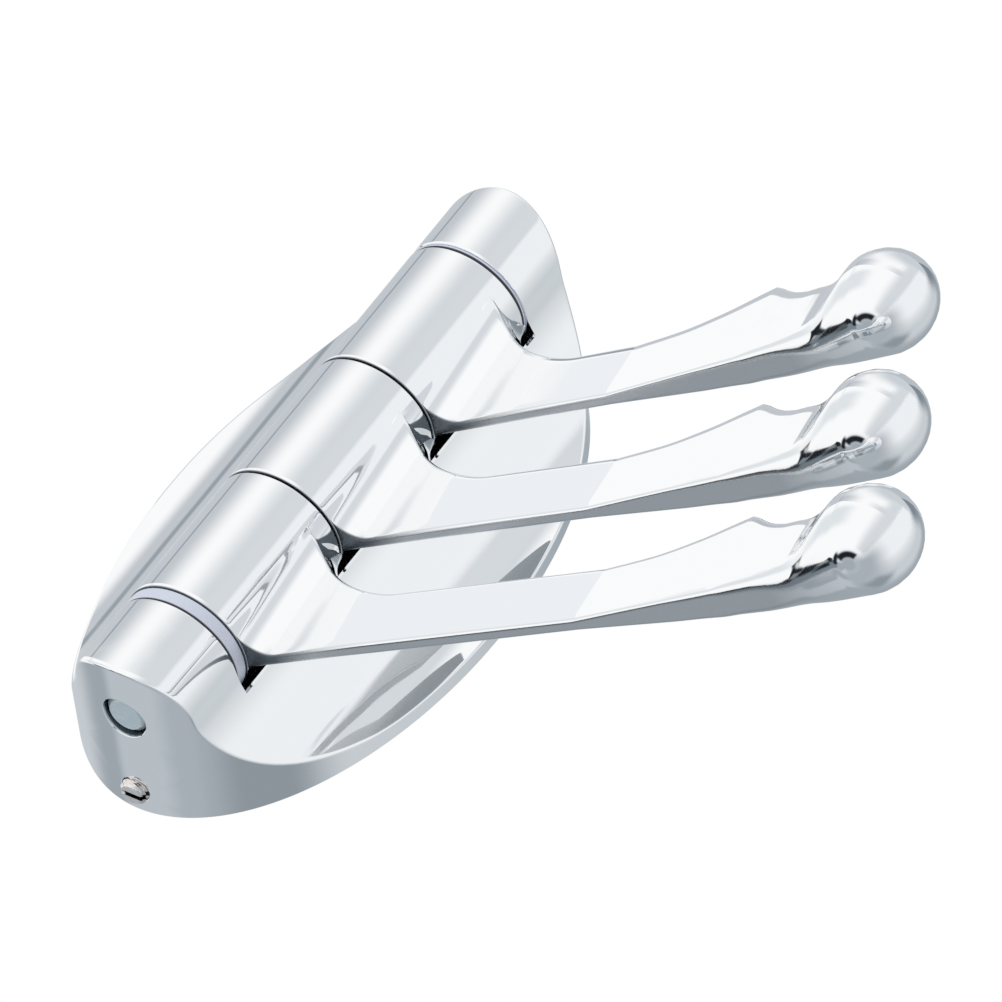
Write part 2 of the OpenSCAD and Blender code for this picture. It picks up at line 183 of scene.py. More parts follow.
def screen(name, azimuths, elevations, grey, upright_fades, level_fades, distance):
    """A screen as a part of a sphere round the object: radius times (sin a cos e, -cos a cos e,
    sin e). It lights nothing, and fades out towards its edges."""
    wide = np.radians(np.linspace(*azimuths, screen_steps))[:, None]
    high = np.radians(np.linspace(*elevations, screen_steps))[None, :]
    sheet = distance * np.stack([
        np.sin(wide) * np.cos(high), -np.cos(wide) * np.cos(high),
        np.broadcast_to(np.sin(high), (screen_steps, screen_steps))], -1)
    index = np.arange(screen_steps ** 2).reshape(screen_steps, screen_steps)
    quads = np.stack([index[:-1, :-1], index[:-1, 1:], index[1:, 1:], index[1:, :-1]], -1)
    mesh = bpy.data.meshes.new(name)
    mesh.from_pydata(sheet.reshape(-1, 3), [], quads.reshape(-1, 4).tolist())
    cover = 1.0
    for span, values, fades, open_ends in (
            (azimuths, wide, upright_fades, (-180, 180)),
            (elevations, high, level_fades, (-90, 90))):
        # A full turn and a pole have no edge to fade
        degrees = np.degrees(values)
        for edge, fade, way in zip(span, fades, (1, -1)):
            if edge not in open_ends:
                rise = ramp(way * (degrees - edge), 0, fade)
                cover = cover * rise * rise * (3 - 2 * rise)
    cover = np.broadcast_to(cover, (screen_steps, screen_steps))
    mesh.attributes.new("cover", "FLOAT", "POINT").data.foreach_set("value", cover.ravel())
    paper, tree = surface_material(name)
    clear = add(tree, "ShaderNodeBsdfTransparent")
    sheen = add(tree, "ShaderNodeEmission", Color=linear(grey))
    cover = add(tree, "ShaderNodeAttribute", [("attribute_name", "cover")])
    mixed = add(tree, "ShaderNodeMixShader",
                _0=cover.outputs["Fac"], _1=clear.outputs[0], _2=sheen.outputs[0])
    add(tree, "ShaderNodeOutputMaterial", Surface=mixed.outputs[0])
    paper.cycles.emission_sampling = "NONE"
    mesh.materials.append(paper)
    card = bpy.data.objects.new(name, mesh)
    scene.collection.objects.link(card)
    for seen_by in ("camera", "diffuse", "transmission", "volume_scatter", "shadow"):
        setattr(card, "visible_" + seen_by, False)


for name, values in screens.items():
    screen(name, *values)

floor = bpy.data.objects.new("floor", bpy.data.meshes.new("floor"))
floor.data.from_pydata(
    [(x * floor_half, y * floor_half, floor_z) for x, y in ((-1, -1), (1, -1), (1, 1), (-1, 1))],
    [], [(0, 1, 2, 3)])
scene.collection.objects.link(floor)
paint, tree = surface_material("pale_floor")
matt = add(tree, "ShaderNodeBsdfDiffuse", Color=linear("EEF0F2"))
glow = add(tree, "ShaderNodeEmission", Color=(1, 1, 1, 1), Strength=1)
both = add(tree, "ShaderNodeMixShader", _0=shown(tree), _1=matt.outputs[0], _2=glow.outputs[0])
add(tree, "ShaderNodeOutputMaterial", Surface=both.outputs[0])
paint.cycles.emission_sampling = "NONE"
floor.data.materials.append(paint)

lamp = bpy.data.objects.new("soft_lamp", bpy.data.lights.new("soft_lamp", "AREA"))
scene.collection.objects.link(lamp)
lamp.data.size = lamp_size
lamp.data.energy = lamp_power
lamp.location = lamp_place
lamp.rotation_mode = "QUATERNION"
lamp.rotation_quaternion = lamp_place.to_track_quat("Z", "Y")
lamp.visible_glossy = False


# Wall bracket
# A stamped plate of sheet steel, zinc plated, that the two wall screws hold. It hides in the
# hollow of the base: a tongue at its top and a lug at its foot carry the casting.
zinc_spangle_mm = 3
zinc_cloud_mm = 12
zinc_grain_mm = 0.4
zinc_grain_deep_mm = 0.01
zinc_roughness = (0.28, 0.48)
# A noise texture seldom leaves this span
noise_low = 0.3
noise_high = 0.7
zinc, tree = surface_material("zinc_plated_steel")
place = add(tree, "ShaderNodeTexCoord").outputs["Object"]
# Crystals of the plating give a faint cloudy pattern, blue grey against warm grey. The grain is
# coarser than a real one, so that it shows.
spangle = add(tree, "ShaderNodeTexVoronoi", Vector=place, Scale=1000 / zinc_spangle_mm)
cloud = add(tree, "ShaderNodeTexNoise", Vector=place, Scale=1000 / zinc_cloud_mm, Detail=4)
tone = add(tree, "ShaderNodeMix", [("data_type", "RGBA")], Factor=spangle.outputs["Color"],
           _6=linear("A9AEB3"), _7=linear("C3C4C2"))
haze = add(tree, "ShaderNodeMapRange", Value=cloud.outputs["Fac"], From_Min=noise_low,
           From_Max=noise_high, To_Min=zinc_roughness[0], To_Max=zinc_roughness[1])
grain = add(tree, "ShaderNodeTexNoise", Vector=place, Scale=1000 / zinc_grain_mm, Detail=3)
dents = add(tree, "ShaderNodeBump", Height=grain.outputs["Fac"],
            Distance=zinc_grain_deep_mm / 1000, Strength=0.6)
shader = add(tree, "ShaderNodeBsdfPrincipled", Base_Color=tone.outputs[2], Metallic=1,
             Roughness=haze.outputs[0], Normal=dents.outputs[0])
add(tree, "ShaderNodeOutputMaterial", Surface=shader.outputs[0])
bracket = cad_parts["wall_bracket"]
for slot in bracket.material_slots:
    slot.material = zinc


# Base casting
# One zinc casting: an oval plate that rises into a barrel along the hinge axis, with a hollow
# flank on each side and a pocket for the knuckles. Its front is polished, then chrome plated.
base_h = 96
base_w = 52.5
rim_t = 2.4
barrel_r = 9.2
axis_out = 17.5
flank_r = 26
flank_foot_x = 22.95
pocket_bottom = -35
pocket_top = 36
trough_r = 10.2
lip_x = 10.4
lip_out = 14.6
hollow_d = 5
hollow_half_w = 14.5
hollow_straight = 24
pin_mouth_r = 3.25
pin_mouth_in = 3
pin_bore_r = 3.02
pin_bore_top = 44.3
screw_hole_r = 2.05
screw_hole_top = -39
screw_out = 3.6
edge_round = 0.35
pocket_round = 0.2
hole_round = 0.2
flank_blend = 1.6
rim_blend = 1.4
barrel_points = 400
flank_points = 800
flat_points = 200
weld = 2e-6

# Decorative chrome over a polished zinc casting: a near mirror. Hand polishing leaves a long
# shallow ripple and patches of faint haze. An attribute of each piece makes surfaces rougher and
# paints them darker: in the pocket and the holes of the foot, where the buff can't reach, that is
# partly real dullness and partly painted shade; on the arms' rear faces, undersides and roots it is
# painted shade. The grain there is coarser than a real one, so that it shows.
ripple_mm = 9
ripple_deep_mm = 0.018
haze_mm = 3
haze_low = 0.4
haze_high = 0.75
cast_grain_mm = 0.5
cast_grain_deep_mm = 0.02
mirror_roughness = (0.025, 0.06)
dull_roughness = 0.42
chrome, tree = surface_material("polished_chrome_plate")
place = add(tree, "ShaderNodeTexCoord").outputs["Object"]
dull_and_shade = add(tree, "ShaderNodeAttribute", [("attribute_name", "dull_and_shade")]).outputs["Fac"]
ripple = add(tree, "ShaderNodeTexNoise", Vector=place, Scale=1000 / ripple_mm, Detail=1)
haze = add(tree, "ShaderNodeTexNoise", Vector=place, Scale=1000 / haze_mm, Detail=3)
grain = add(tree, "ShaderNodeTexNoise", Vector=place, Scale=1000 / cast_grain_mm, Detail=2)
mirror = add(tree, "ShaderNodeMapRange", Value=haze.outputs["Fac"], From_Min=haze_low,
             From_Max=haze_high, To_Min=mirror_roughness[0], To_Max=mirror_roughness[1])
rough = add(tree, "ShaderNodeMapRange",
            Value=dull_and_shade, To_Min=mirror.outputs[0], To_Max=dull_roughness)
# Darker colour where the attribute rises: painted shade, and unpolished metal in the pocket and holes
tone = add(tree, "ShaderNodeMix", [("data_type", "RGBA")], Factor=dull_and_shade,
           _6=linear("F9FAFB"), _7=linear("70777D"))
waves = add(tree, "ShaderNodeBump", Height=ripple.outputs["Fac"],
            Distance=ripple_deep_mm / 1000, Strength=1)
pits = add(tree, "ShaderNodeMath", [("operation", "MULTIPLY")], _0=grain.outputs["Fac"], _1=dull_and_shade)
pits = add(tree, "ShaderNodeBump", Height=pits.outputs[0], Distance=cast_grain_deep_mm / 1000,
           Strength=1, Normal=waves.outputs[0])
shader = add(tree, "ShaderNodeBsdfPrincipled", Base_Color=tone.outputs[2], Metallic=1,
             Roughness=rough.outputs[0], Normal=pits.outputs[0])
add(tree, "ShaderNodeOutputMaterial", Surface=shader.outputs[0])


def solid(name, patches, smooth_angle=32):
    """One closed piece from grids of points in mm: each grid (rows, columns, 3) is a sheet of
    quads, and the sheets are welded where their borders meet."""
    spots, faces, first = [], [], 0
    for patch in patches:
        high, wide = patch.shape[:2]
        index = first + np.arange(high * wide).reshape(high, wide)
        corners = [index[:-1, :-1], index[:-1, 1:], index[1:, 1:], index[1:, :-1]]
        faces.append(np.stack(corners, -1).reshape(-1, 4))
        spots.append(patch.reshape(-1, 3))
        first += high * wide
    mesh = bpy.data.meshes.new(name)
    mesh.from_pydata(np.concatenate(spots) / 1000, [], np.concatenate(faces).tolist())
    work = bmesh.new()
    work.from_mesh(mesh)
    bmesh.ops.remove_doubles(work, verts=work.verts, dist=weld)
    bmesh.ops.dissolve_degenerate(work, edges=work.edges, dist=weld)
    bmesh.ops.recalc_face_normals(work, faces=work.faces)
    work.to_mesh(mesh)
    work.free()
    mesh.shade_smooth()
    mesh.set_sharp_from_angle(angle=math.radians(smooth_angle))
    piece = bpy.data.objects.new(name, mesh)
    scene.collection.objects.link(piece)
    return piece


def mark(piece, name, shares):
    """Gives a piece an attribute from 0 to 1 that its material reads."""
    piece.data.attributes.new(name, "FLOAT", "POINT").data.foreach_set(
        "value", np.clip(shares, 0, 1).astype(np.float32))


def vectors(piece, kind):
    """Points ("co", in m) or directions ("normal") of a piece's vertices."""
    flat = np.empty(len(piece.data.vertices) * 3)
    piece.data.vertices.foreach_get(kind, flat)
    return flat.reshape(-1, 3)


def places(piece):
    """Points of a piece in mm."""
    return vectors(piece, "co") * 1000


def between(a, b, shares):
    """Rows of points from curve a to curve b at the given shares of the way."""
    return a + np.asarray(shares)[:, None, None] * (b - a)


def rounded(a, corner, b, steps=6):
    """Rows of a quadratic curve from a to b that leaves both towards the corner between them."""
    v = np.linspace(0, 1, steps)[:, None, None]
    return (1 - v) ** 2 * a + 2 * v * (1 - v) * corner + v ** 2 * b


def points(x, d, z):
    """Points from x across, d out from the wall and z up."""
    x, d, z = np.broadcast_arrays(x, d, z)
    return np.stack([x, -d, z], -1)


def flank_curve():
    """Half section of the front from the middle of the barrel out to the edge, as dense points
    (x, d): a quarter circle, a hollow arc through its foot and a flat, with both creases eased
    by a cubic whose ends keep their direction. Returns the points and the distance along them."""
    turn = np.linspace(0, np.pi / 2, barrel_points)
    barrel = np.stack([barrel_r * np.sin(turn), axis_out + barrel_r * np.cos(turn)], 1)
    start, foot = np.array([barrel_r, axis_out]), np.array([flank_foot_x, rim_t])
    chord = foot - start
    span = np.linalg.norm(chord)
    centre = (start + foot) / 2 + math.sqrt(flank_r ** 2 - span ** 2 / 4) / span * np.array(
        [-chord[1], chord[0]])
    a, b = (math.atan2(*(p - centre)[::-1]) for p in (start, foot))
    turn = np.linspace(a % (2 * np.pi), b % (2 * np.pi), flank_points)
    flank = centre + flank_r * np.stack([np.cos(turn), np.sin(turn)], 1)
    flat = np.stack([
        np.linspace(flank_foot_x, base_w / 2, flat_points), np.full(flat_points, rim_t)], 1)
    curve = np.concatenate([barrel, flank[1:], flat[1:]])
    along = np.concatenate([[0], np.cumsum(np.linalg.norm(np.diff(curve, axis=0), axis=1))])
    flank_top, flank_end = barrel_points - 1, barrel_points + flank_points - 2
    for crease, reach in ((along[flank_top], flank_blend), (along[flank_end], rim_blend)):
        inside = abs(along - crease) < reach
        i, j = np.flatnonzero(inside)[[0, -1]]
        ends = curve[[i, j]]
        ways = np.array([curve[i] - curve[i - 1], curve[j + 1] - curve[j]])
        ways *= (along[j] - along[i]) / np.linalg.norm(ways, axis=1)[:, None]
        t = ((along[i:j + 1] - along[i]) / (along[j] - along[i]))[:, None]
        curve[i:j + 1] = (
            (1 + 2 * t) * (1 - t) ** 2 * ends[0] + t * (1 - t) ** 2 * ways[0]
            + t * t * (3 - 2 * t) * ends[1] - t * t * (1 - t) * ways[1])
    along = np.concatenate([[0], np.cumsum(np.linalg.norm(np.diff(curve, axis=0), axis=1))])
    return curve, along


curve, along = flank_curve()
half_length = along[-1]
lip_at = np.interp(lip_x, curve[:, 0], along)
side_at = np.interp(barrel_r, curve[:, 0], along)
foot_at = np.interp(flank_foot_x, curve[:, 0], along)


def front(at):
    """Point (x, d) of the front section at a signed distance from its middle, and its direction."""
    side = np.where(at < 0, -1, 1)
    far = np.clip(abs(at), 0, half_length)
    x, d = (np.interp(far, along, curve[:, k]) for k in (0, 1))
    dx, dd = (np.interp(far, along, np.gradient(curve[:, k], along)) for k in (0, 1))
    size = np.hypot(dx, dd)
    return side * x, d, dx / size, side * dd / size


def oval_z(x):
    """Half height of the oval outline at x."""
    return base_h / 2 * np.sqrt(np.clip(1 - (2 * x / base_w) ** 2, 0, 1))


# Columns of the front: distances from its middle, closer together where the outline turns
side_column = 36
lip_column = 39
foot_column = 82
edge_columns = 20
edge_turns = np.linspace(math.acos(2 * flank_foot_x / base_w), 0, edge_columns)
edge_at = np.interp(base_w / 2 * np.cos(edge_turns), curve[:, 0], along)
half_columns = np.concatenate([
    np.linspace(0, side_at, side_column + 1),
    np.linspace(side_at, lip_at, lip_column - side_column + 1)[1:],
    np.linspace(lip_at, foot_at, foot_column - lip_column + 1)[1:], edge_at[1:]])
columns = np.concatenate([-half_columns[:0:-1], half_columns])
middle = len(half_columns) - 1

# The rounded edge between front and oval side: a point on each surface, with the sharp corner
x, d, dx, dd = front(columns)
turn = np.arccos(np.clip(2 * x / base_w, -1, 1))
run = np.stack([dx * np.sin(turn), dd * np.sin(turn), -base_h / base_w * np.cos(turn) * dx], 1)
run /= np.linalg.norm(run, axis=1)[:, None]
out_side = np.stack([np.cos(turn) / base_w, np.zeros_like(x), np.sin(turn) / base_h], 1)
out_side /= np.linalg.norm(out_side, axis=1)[:, None]
out_front = np.stack([-dd, dx, np.zeros_like(x)], 1)
on_front = np.cross(run, out_front)
on_front *= -np.sign((on_front * out_side).sum(1))[:, None]
on_side = np.cross(run, out_side)
on_side *= -np.sign((on_side * out_front).sum(1))[:, None]
slide = on_front[:, 0] * dx + on_front[:, 1] * dd
front_x, front_d, _, _ = front(np.clip(columns + edge_round * slide, -half_length, half_length))
front_z = oval_z(x) + edge_round * on_front[:, 2]
wall_x = x + edge_round * on_side[:, 0]
wall_d = d + edge_round * on_side[:, 1]
wall_z = oval_z(wall_x)
corner_z = oval_z(x)

base_patches = []
for up in (-1, 1):
    base_patches.append(rounded(
        points(front_x, front_d, up * front_z), points(x, d, up * corner_z),
        points(wall_x, wall_d, up * wall_z)))

# Front beside the pocket: straight upright lines between the two rounded edges. Their rows gather
# there and at the pocket's ends, which are the rows low_lip and high_lip.
low_lip = 4
high_lip = -5
lip_share = [(pocket_bottom + front_z[middle + lip_column]) / 2 / front_z[middle + lip_column],
             (pocket_top + front_z[middle + lip_column]) / 2 / front_z[middle + lip_column]]
rows = np.array([
    0, 0.004, 0.03, lip_share[0] - 0.002, lip_share[0], lip_share[0] + 0.003, 0.3, 0.5, 0.7,
    lip_share[1] - 0.003, lip_share[1], lip_share[1] + 0.002, 0.97, 0.996, 1])
for side in (slice(0, middle - lip_column + 1), slice(middle + lip_column, None)):
    low_edge = points(front_x, front_d, -front_z)[side]
    high_edge = points(front_x, front_d, front_z)[side]
    base_patches.append(between(low_edge, high_edge, rows))

# Barrel below and above the pocket, with the rounded edge of the pocket and its end wall
core = slice(middle - lip_column, middle + lip_column + 1)
fade_columns = 5
fade = ramp(lip_column - abs(np.arange(-lip_column, lip_column + 1)), 0, fade_columns)
round_here = pocket_round * fade
core_x, core_d, core_dx, core_dd = front(columns[core] + edge_round * slide[core] * (1 - fade))
pocket_rims = {}
for up, level in ((-1, pocket_bottom), (1, pocket_top)):
    outer = points(front_x, front_d, up * front_z)[core]
    lip_row = points(core_x, core_d, level)
    inner = points(core_x, core_d, level + up * round_here)
    if up < 0:
        shares = rows[:low_lip + 1] / lip_share[0]
    else:
        shares = (1 - rows[:high_lip - 1:-1]) / (1 - lip_share[1])
    base_patches.append(between(outer, inner, shares))
    rim = points(core_x + round_here * core_dd, core_d - round_here * core_dx, level)
    base_patches.append(rounded(inner, lip_row, rim, 4))
    pocket_rims[up] = rim

# Side of the base from the rounded edge back to the wall, with the two holes in its foot
wall_rows = np.array([0, 0.015, 0.1, 0.2, 0.3, 0.42, 0.55, 0.66, 0.78, 0.9, 1])
hole_row = 6
top_wall = points(wall_x, wall_d * (1 - wall_rows[:, None]), wall_z)
low_wall = points(wall_x, wall_d * (1 - wall_rows[:, None]), -wall_z)
base_patches.append(top_wall)
left, right = middle - side_column, middle + side_column
base_patches += [low_wall[:, :left + 1], low_wall[:, right:]]


def ring_rows(chain, centre_d, radius, shares):
    """Rows from a circle in the foot out to a closed chain round it, all on the oval side."""
    angle = np.arctan2(chain[:, 1] - centre_d, chain[:, 0])
    circle = np.stack([radius * np.cos(angle), centre_d + radius * np.sin(angle)], 1)
    grid = circle + np.asarray(shares)[:, None, None] * (chain - circle)
    return points(grid[..., 0], grid[..., 1], -oval_z(grid[..., 0])), angle


def flat_chain(grid):
    """Points of a chain seen along z, as (x, d)."""
    return grid[:, :2] * [1, -1]


bridge_count = 45
bridge_x = np.linspace(wall_x[left], wall_x[right], bridge_count)
bridge_d = wall_d[left] * (1 - wall_rows[hole_row])
bridge = np.stack([bridge_x, np.full(bridge_count, bridge_d)], 1)
foot_line = np.stack([bridge_x, np.zeros(bridge_count)], 1)
upper_chain = np.concatenate([
    flat_chain(low_wall[0, left:right + 1]), flat_chain(low_wall[1:hole_row + 1, right]),
    bridge[::-1][1:], flat_chain(low_wall[:hole_row, left])[::-1]])
lower_chain = np.concatenate([
    bridge, flat_chain(low_wall[hole_row + 1:, right]), foot_line[::-1][1:],
    flat_chain(low_wall[hole_row:-1, left])[::-1]])
ring_shares = [0, 0.02, 0.1, 0.25, 0.5, 0.75, 0.97, 1]
pin_ring, pin_turn = ring_rows(upper_chain, axis_out, pin_mouth_r + hole_round, ring_shares)
screw_ring, screw_turn = ring_rows(lower_chain, screw_out, screw_hole_r + hole_round, ring_shares)
base_patches += [pin_ring, screw_ring]


def circle_row(angle, centre_d, radius, z):
    """Points of a level circle at the given turns."""
    return points(radius * np.cos(angle), centre_d + radius * np.sin(angle), z)


def hole(ring, angle, centre_d, radius, high, inner_r):
    """Rounded edge of a hole in the foot, its wall up to a level, and the step in to inner_r."""
    corner = circle_row(angle, centre_d, radius, -oval_z(radius * np.cos(angle)))
    edge = corner + [0, 0, hole_round]
    top, step = (circle_row(angle, centre_d, r, high) for r in (radius, inner_r))
    return [rounded(ring[0], corner, edge, 4), between(edge, top, [0, 0.1, 1]),
            between(top, step, [0, 1])]


mouth_top = -base_h / 2 + pin_mouth_in
bore_low, bore_high = (
    circle_row(pin_turn, axis_out, pin_bore_r, level) for level in (mouth_top, pocket_bottom))
base_patches += hole(pin_ring, pin_turn, axis_out, pin_mouth_r, mouth_top, pin_bore_r)
base_patches.append(between(bore_low, bore_high, [0, 1]))
base_patches += hole(screw_ring, screw_turn, screw_out, screw_hole_r, screw_hole_top, 0)

# Pocket: lips and trough from one side to the other, as many points as the chain of the foot has.
# Each lip is a narrow flat with both edges rounded, in steps (x, d) from its corner.
lip_turn = math.acos((axis_out - lip_out) / trough_r)
lip_gap = 0.015
lip_steps = [[-0.08, 0.04], [-0.16, 0], [-0.45, 0], [-0.56, -0.02], [-0.61, -0.06]]
lip = np.concatenate([[[core_x[-1], core_d[-1]]], np.array(lip_steps) + [lip_x, lip_out]])
trough_count = len(upper_chain) - len(pocket_rims[1]) - 2 * len(lip) + 1
trough_turn = np.linspace(lip_turn - lip_gap, -lip_turn + lip_gap, trough_count)
trough = np.stack([trough_r * np.sin(trough_turn), axis_out - trough_r * np.cos(trough_turn)], 1)
pocket_section = np.concatenate([lip, trough, lip[::-1] * [-1, 1]])
pocket_shares = (rows[low_lip:high_lip + 1] - rows[low_lip]) / (rows[high_lip] - rows[low_lip])
base_patches.append(between(
    points(*pocket_section.T, pocket_bottom), points(*pocket_section.T, pocket_top), pocket_shares))

# End walls of the pocket, each round the bore of the pin
for up, level in ((-1, pocket_bottom), (1, pocket_top)):
    chain = np.concatenate([pocket_rims[up], points(*pocket_section[1:].T, level)])
    bore = circle_row(pin_turn, axis_out, pin_bore_r, level)
    base_patches.append(between(bore, chain, [0, 0.5, 1]))
bore_top = circle_row(pin_turn, axis_out, pin_bore_r, pin_bore_top)
base_patches += [
    between(bore, bore_top, [0, 1]),
    between(bore_top, circle_row(pin_turn, axis_out, 0, pin_bore_top), [0, 1])]

# Back: the flat that lies on the wall, and the round-ended hollow for the bracket
back_foot = points(foot_line[:, 0], 0, -oval_z(foot_line[:, 0]))
back_chain = np.concatenate([
    top_wall[-1], low_wall[-1, right:][::-1][1:], back_foot[::-1][1:],
    low_wall[-1, :left + 1][::-1][1:]])
way = back_chain[:, [0, 2]] / np.linalg.norm(back_chain[:, [0, 2]], axis=1)[:, None]
lift = abs(way[:, 1]) * hollow_straight
to_end = lift + np.sqrt(np.maximum(lift ** 2 - hollow_straight ** 2 + hollow_half_w ** 2, 0))
to_side = hollow_half_w / np.maximum(abs(way[:, 0]), 1e-9)
reach = np.where(to_side * abs(way[:, 1]) <= hollow_straight, to_side, to_end)
hollow = points(way[:, 0] * reach, 0, way[:, 1] * reach)
hollow_floor = hollow - [0, hollow_d, 0]
spine = points(0, hollow_d, hollow[:, 2] * hollow_straight / (hollow_straight + hollow_half_w))
base_patches += [
    between(back_chain, hollow, [0, 1]), between(hollow, hollow_floor, [0, 1]),
    between(hollow_floor, spine, [0, 1])]

base = solid("base_casting_shell", base_patches)
base.data.materials.append(chrome)
# The pocket and the two holes of the foot are rougher and painted darker, partly as unpolished
# metal and partly as painted shade, but their rims stay bright
margin = 0.05
lip_margin = 0.03
end_margin = 0.01
bright_rim = 0.25
bright_mouth = 0.1
x, y, z = places(base).T
from_axis = np.hypot(x, y + axis_out)
from_screw = np.hypot(x, y + screw_out)
in_trough = (from_axis < trough_r + margin) & (-y < lip_out - lip_margin)
in_pocket = (from_axis < barrel_r - bright_rim) | in_trough
in_pocket &= (z > pocket_bottom - end_margin) & (z < pocket_top + end_margin)
in_hole = (from_axis < pin_mouth_r + margin) | (from_screw < screw_hole_r + margin)
in_hole &= (z < 0) & (z > hole_round - oval_z(x) + bright_mouth)
mark(base, "dull_and_shade", in_pocket | in_hole)
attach(base, "base")
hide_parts("base_casting")


# Swing arms
# Three zinc castings of one pattern in three lengths, polished and chrome plated: a knuckle
# bored for the pin, a slim blade that sweeps out of it, a pointed peak, a seat and a ball end.
arm_lengths = {"lower": 120, "middle": 105, "upper": 91.7}
arm_angles = {"lower": 32.8, "middle": 33.2, "upper": 34.7}
low_washer_t = 2.4
top_washer_t = 0.8
seam = 0.3
knuckle_len = (pocket_top - pocket_bottom - low_washer_t - top_washer_t - 2 * seam) / 3
knuckle_edge = 0.22
knuckle_bore_r = 3.05
knuckle_end_in = 0.3
face_tilt = math.tan(math.radians(5.4))
recess_r = 6.3
recess_depth = 0.7
blade_t = 2
blade_h = 9.3
blade_back = 4.9
blade_low = 0.15
edge_r = 0.5
sweep_start = 8
sweep_end = 31
sweep_power = 1.6
root_fillet = 4.5
back_fillet = 2
crease_back = 49
taper_front = 0.0765
taper_rear = 0.0265
peak_back = 23
peak_h = 13.5
seat_back = 14.5
seat_h = 10.6
neck_back = 12
ball_h = 14.6
ball_t = 13.08
ball_nose = 6.925
ball_back = 3.06
ball_lift = 1
# Share of the way and share of the height: up to the peak, down to the seat
rise = [[0, 0], [0.35, 0.1], [0.67, 0.43], [0.9, 0.83], [1, 1]]
fall = [[0, 0], [0.18, 0.2], [0.41, 0.52], [0.7, 0.83], [1, 1]]
# Distance behind the ball and share of the swelling: thickness, top, bottom, edge radius
swell_t = [[-12, 0], [-10, 0.05], [-8, 0.18], [-6, 0.4], [-4, 0.68], [-2, 0.9], [0, 1]]
swell_top = [[-14.5, 0], [-12, 0.02], [-10, 0.1], [-8, 0.32], [-6, 0.6], [-4, 0.86], [-2, 0.98], [0, 1]]
swell_low = [[-8, 0], [-6, 0.06], [-4, 0.3], [-2, 0.65], [0, 1]]
swell_round = [[-12, 0], [-10, 0.12], [-8, 0.29], [-6, 0.46], [-4, 0.67], [-2, 0.87], [0, 1]]
edge_growth = [[-49, 0], [-32, 0], [-25.6, 0.2], [-23, 0.2], [-19.5, 0.6], [-14.5, 0.9], [-12, 1.3]]
top_edge_share = 0.1
root_rows = 60
root_crowding = 1.3
flat_rows = 40
rise_rows = 60
tip_rows = 80
ball_rows = 25
knuckle_columns = 100
knuckle_edge_rows = 5
end_share = 0.9
# Painted shade, with a rougher finish, on the rear face, the underside and the root: how strong it
# is, the distances over which that fades, and the share of the normal that way from which it
# counts, with the span up to its full value
rear_shade = 0.6
rear_facing = (0.6, 0.3)
rear_fade = 12
rear_rise = 2
under_shade = 0.5
under_facing = (0.8, 0.15)
root_shade = 1.4
root_facing = (0.3, 0.4)
root_fade = 24
root_power = 1.5


def eased(steps, at):
    """Height at `at` of a smooth curve through given steps: cubic pieces whose slopes are the
    harmonic means of the slopes beside each step, so that it never overshoots."""
    px, py = np.array(steps, float).T
    grade = np.diff(py) / np.diff(px)
    steep = grade[:-1] * grade[1:]
    inner = np.where(steep > 0, 2 * steep / np.where(steep > 0, grade[:-1] + grade[1:], 1), 0)
    slope = np.concatenate([grade[:1], inner, grade[-1:]])
    at = np.clip(at, px[0], px[-1])
    k = np.clip(np.searchsorted(px, at, side="right") - 1, 0, len(px) - 2)
    wide = px[k + 1] - px[k]
    t = (at - px[k]) / wide
    return (
        (1 + 2 * t) * (1 - t) ** 2 * py[k] + t * (1 - t) ** 2 * wide * slope[k]
        + t * t * (3 - 2 * t) * py[k + 1] - t * t * (1 - t) * wide * slope[k + 1])


blade_front = blade_back - blade_t / 2
blade_rear = blade_back + blade_t / 2
fillet_y = blade_front - root_fillet
fillet_x = math.sqrt((barrel_r + root_fillet) ** 2 - fillet_y ** 2)
fillet_start = fillet_x * barrel_r / (barrel_r + root_fillet)
rear_y = blade_rear + back_fillet
rear_x = math.sqrt((barrel_r + back_fillet) ** 2 - rear_y ** 2)
rear_start = rear_x * barrel_r / (barrel_r + back_fillet)


def blade_size(x, length):
    """Bottom, top, front and rear of the blade at distances x from the pin, the radius of its lower
    and of its upper edges, and how far it has become an oval."""
    back = x - length
    left = np.clip((sweep_end - x) / (sweep_end - sweep_start), 0, 1)
    sweep = 1 - (1 - left ** sweep_power) ** (1 / sweep_power)
    top = blade_h + (knuckle_len - 2 * blade_low - blade_h) * sweep
    up = (back + crease_back) / (crease_back - peak_back)
    down = (back + peak_back) / (peak_back - seat_back)
    top = np.where(up > 0, blade_h + (peak_h - blade_h) * eased(rise, up), top)
    top = np.where(down > 0, peak_h + (seat_h - peak_h) * eased(fall, down), top)
    top = np.where(back > -seat_back,
                   seat_h + (ball_lift + ball_h - seat_h) * eased(swell_top, back), top)
    low = blade_low + (ball_lift - blade_low) * eased(swell_low, back)
    along = np.clip(back + crease_back, 0, crease_back - neck_back)
    in_fillet = np.clip(fillet_x - np.maximum(x, fillet_start), 0, None)
    front_y = np.where(x < fillet_x, fillet_y + np.sqrt(root_fillet ** 2 - in_fillet ** 2),
                       blade_front - taper_front * along)
    in_fillet = np.clip(rear_x - np.maximum(x, rear_start), 0, None)
    back_y = np.where(x < rear_x, rear_y - np.sqrt(back_fillet ** 2 - in_fillet ** 2),
                      blade_rear + taper_rear * along)
    share = eased(swell_t, back)
    front_y += share * (ball_back - ball_t / 2 - front_y)
    back_y += share * (ball_back + ball_t / 2 - back_y)
    growth = eased(edge_growth, back)
    share = eased(swell_round, back)
    low_r, top_r = (edge_r + part * growth for part in (1, top_edge_share))
    low_r, top_r = (radius + share * (ball_t / 2 - radius) for radius in (low_r, top_r))
    return low, top, front_y, back_y, low_r, top_r, share ** 2


